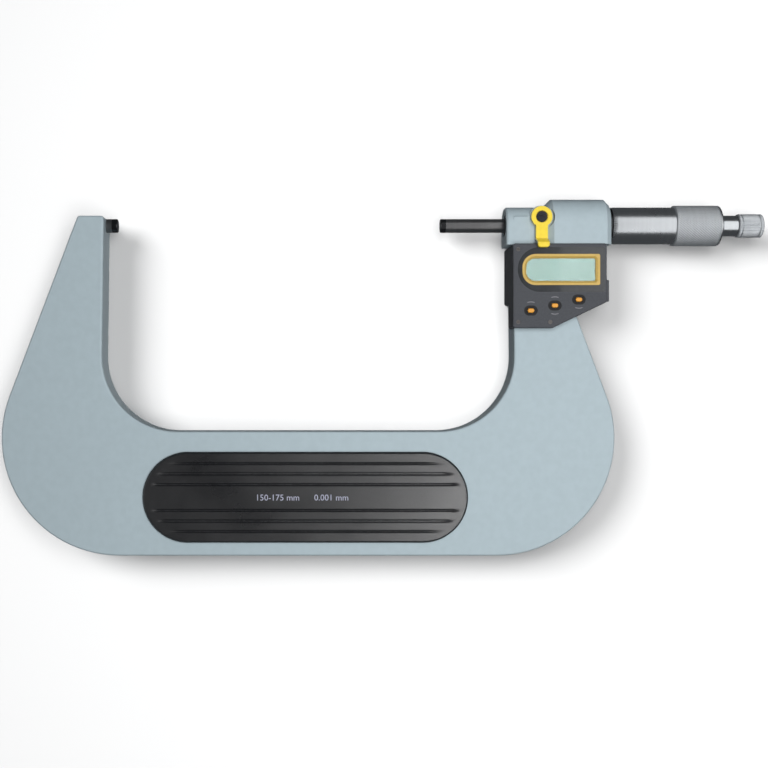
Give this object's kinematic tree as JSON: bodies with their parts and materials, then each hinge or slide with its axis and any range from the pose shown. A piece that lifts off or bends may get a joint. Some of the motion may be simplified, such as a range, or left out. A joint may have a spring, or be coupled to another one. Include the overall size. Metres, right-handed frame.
{
  "type": "outside micrometer",
  "caption": "Large outside micrometer: deep C frame, screw spindle with thimble and ratchet, lock lever, and a digital display with three buttons.",
  "frame": {"origin": "centre of the anvil's measuring face", "axes": "+X along the measuring axis, from the anvil to the spindle; +Y away from the beam of the frame; +Z out of the display's front"},
  "size_m": [0.3515, 0.1645, 0.0287],
  "materials": {
    "grey_enamel": "satin",
    "black_grip": "satin",
    "dark_casing": "satin",
    "bezel_gloss": "gloss",
    "window_yellow": "satin",
    "window_clear": "gloss",
    "lcd_green": "satin",
    "button_orange": "satin",
    "black_rubber": "matte",
    "cap_plastic": "satin",
    "ground_steel": "satin",
    "carbide": "satin",
    "hard_steel": "satin",
    "satin_chrome": "satin",
    "bright_chrome": "gloss",
    "knurled_steel": "satin",
    "black_steel": "satin",
    "plated_screws": "satin",
    "lever_yellow": "satin",
    "brass_shoe": "satin",
    "board_green": "satin",
    "ribbon_amber": "satin",
    "moulded_black": "matte",
    "cell_nickel": "satin"
  },
  "bodies": {
    "frame": {"frame": "grey_enamel", "anvil": "ground_steel", "anvil_tip": "carbide", "spindle_seal": "black_rubber", "front_bush": "hard_steel", "rear_bush": "hard_steel", "lock_shoe": "brass_shoe", "encoder_housing": "grey_enamel", "encoder_stator": "board_green", "encoder_flex": "ribbon_amber", "inner_sleeve": "hard_steel", "adjusting_nut": "hard_steel", "outer_sleeve": "satin_chrome", "sleeve_collar": "black_steel", "display_casing": "dark_casing", "rear_casing": "dark_casing", "cover_screws": "plated_screws", "display_bezel": "bezel_gloss", "window_border": "window_yellow", "window_lens": "window_clear", "lcd_panel": "lcd_green", "lcd_connectors": "black_rubber", "circuit_board": "board_green", "switch_domes": "plated_screws", "data_socket": "moulded_black", "port_cover": "dark_casing", "button_seals": "black_rubber", "battery": "cell_nickel", "battery_holder": "moulded_black", "battery_contact": "brass_shoe", "battery_cap_seal": "black_rubber", "grip_front": "black_grip", "grip_rear": "black_grip"},
    "rotor": {"encoder_rotor": "ground_steel"},
    "spindle": {"spindle": "ground_steel", "spindle_tip": "carbide", "thimble": "bright_chrome", "thimble_grip": "knurled_steel", "ratchet_base": "bright_chrome", "ratchet_screw": "plated_screws"},
    "ratchet": {"ratchet_knob": "knurled_steel", "ratchet_disc": "black_steel", "ratchet_spring": "plated_screws", "ratchet_cap": "plated_screws"},
    "lock": {"lock_lever": "lever_yellow", "lock_pin": "black_steel", "lock_screw": "black_steel"},
    "battery_cap": {"battery_cap": "cap_plastic"},
    "button_left": {"button_left": "button_orange"},
    "button_middle": {"button_middle": "button_orange"},
    "button_right": {"button_right": "button_orange"}
  },
  "joints": [
    {"name": "spindle_turn", "type": "hinge", "parent": "frame", "child": "rotor", "pos_m": [0.19, 0, 0], "axis": [1, 0, 0], "range_deg": [0, 18000]},
    {"name": "spindle_advance", "type": "slide", "parent": "rotor", "child": "spindle", "axis": [1, 0, 0], "range_m": [0, 0.025]},
    {"name": "ratchet_turn", "type": "hinge", "parent": "spindle", "child": "ratchet", "pos_m": [0.29, 0, 0], "axis": [1, 0, 0], "continuous": true},
    {"name": "lock_turn", "type": "hinge", "parent": "frame", "child": "lock", "pos_m": [0.19545, 0.0029, 0.0085], "axis": [0, 0, 1], "range_deg": [-60, 0]},
    {"name": "battery_cap_turn", "type": "hinge", "parent": "frame", "child": "battery_cap", "pos_m": [0.2149, -0.0212, -0.013], "axis": [0, 0, -1], "range_deg": [0, 60]},
    {"name": "button_left_press", "type": "slide", "parent": "frame", "child": "button_left", "axis": [0, 0, -1], "range_m": [0, 0.0006], "stiffness_N_per_m": 100},
    {"name": "button_middle_press", "type": "slide", "parent": "frame", "child": "button_middle", "axis": [0, 0, -1], "range_m": [0, 0.0006], "stiffness_N_per_m": 100},
    {"name": "button_right_press", "type": "slide", "parent": "frame", "child": "button_right", "axis": [0, 0, -1], "range_m": [0, 0.0006], "stiffness_N_per_m": 100}
  ],
  "couplings": [
    {"joint": "spindle_turn", "follows": "spindle_advance", "rad_per_m": 12566}
  ]
}
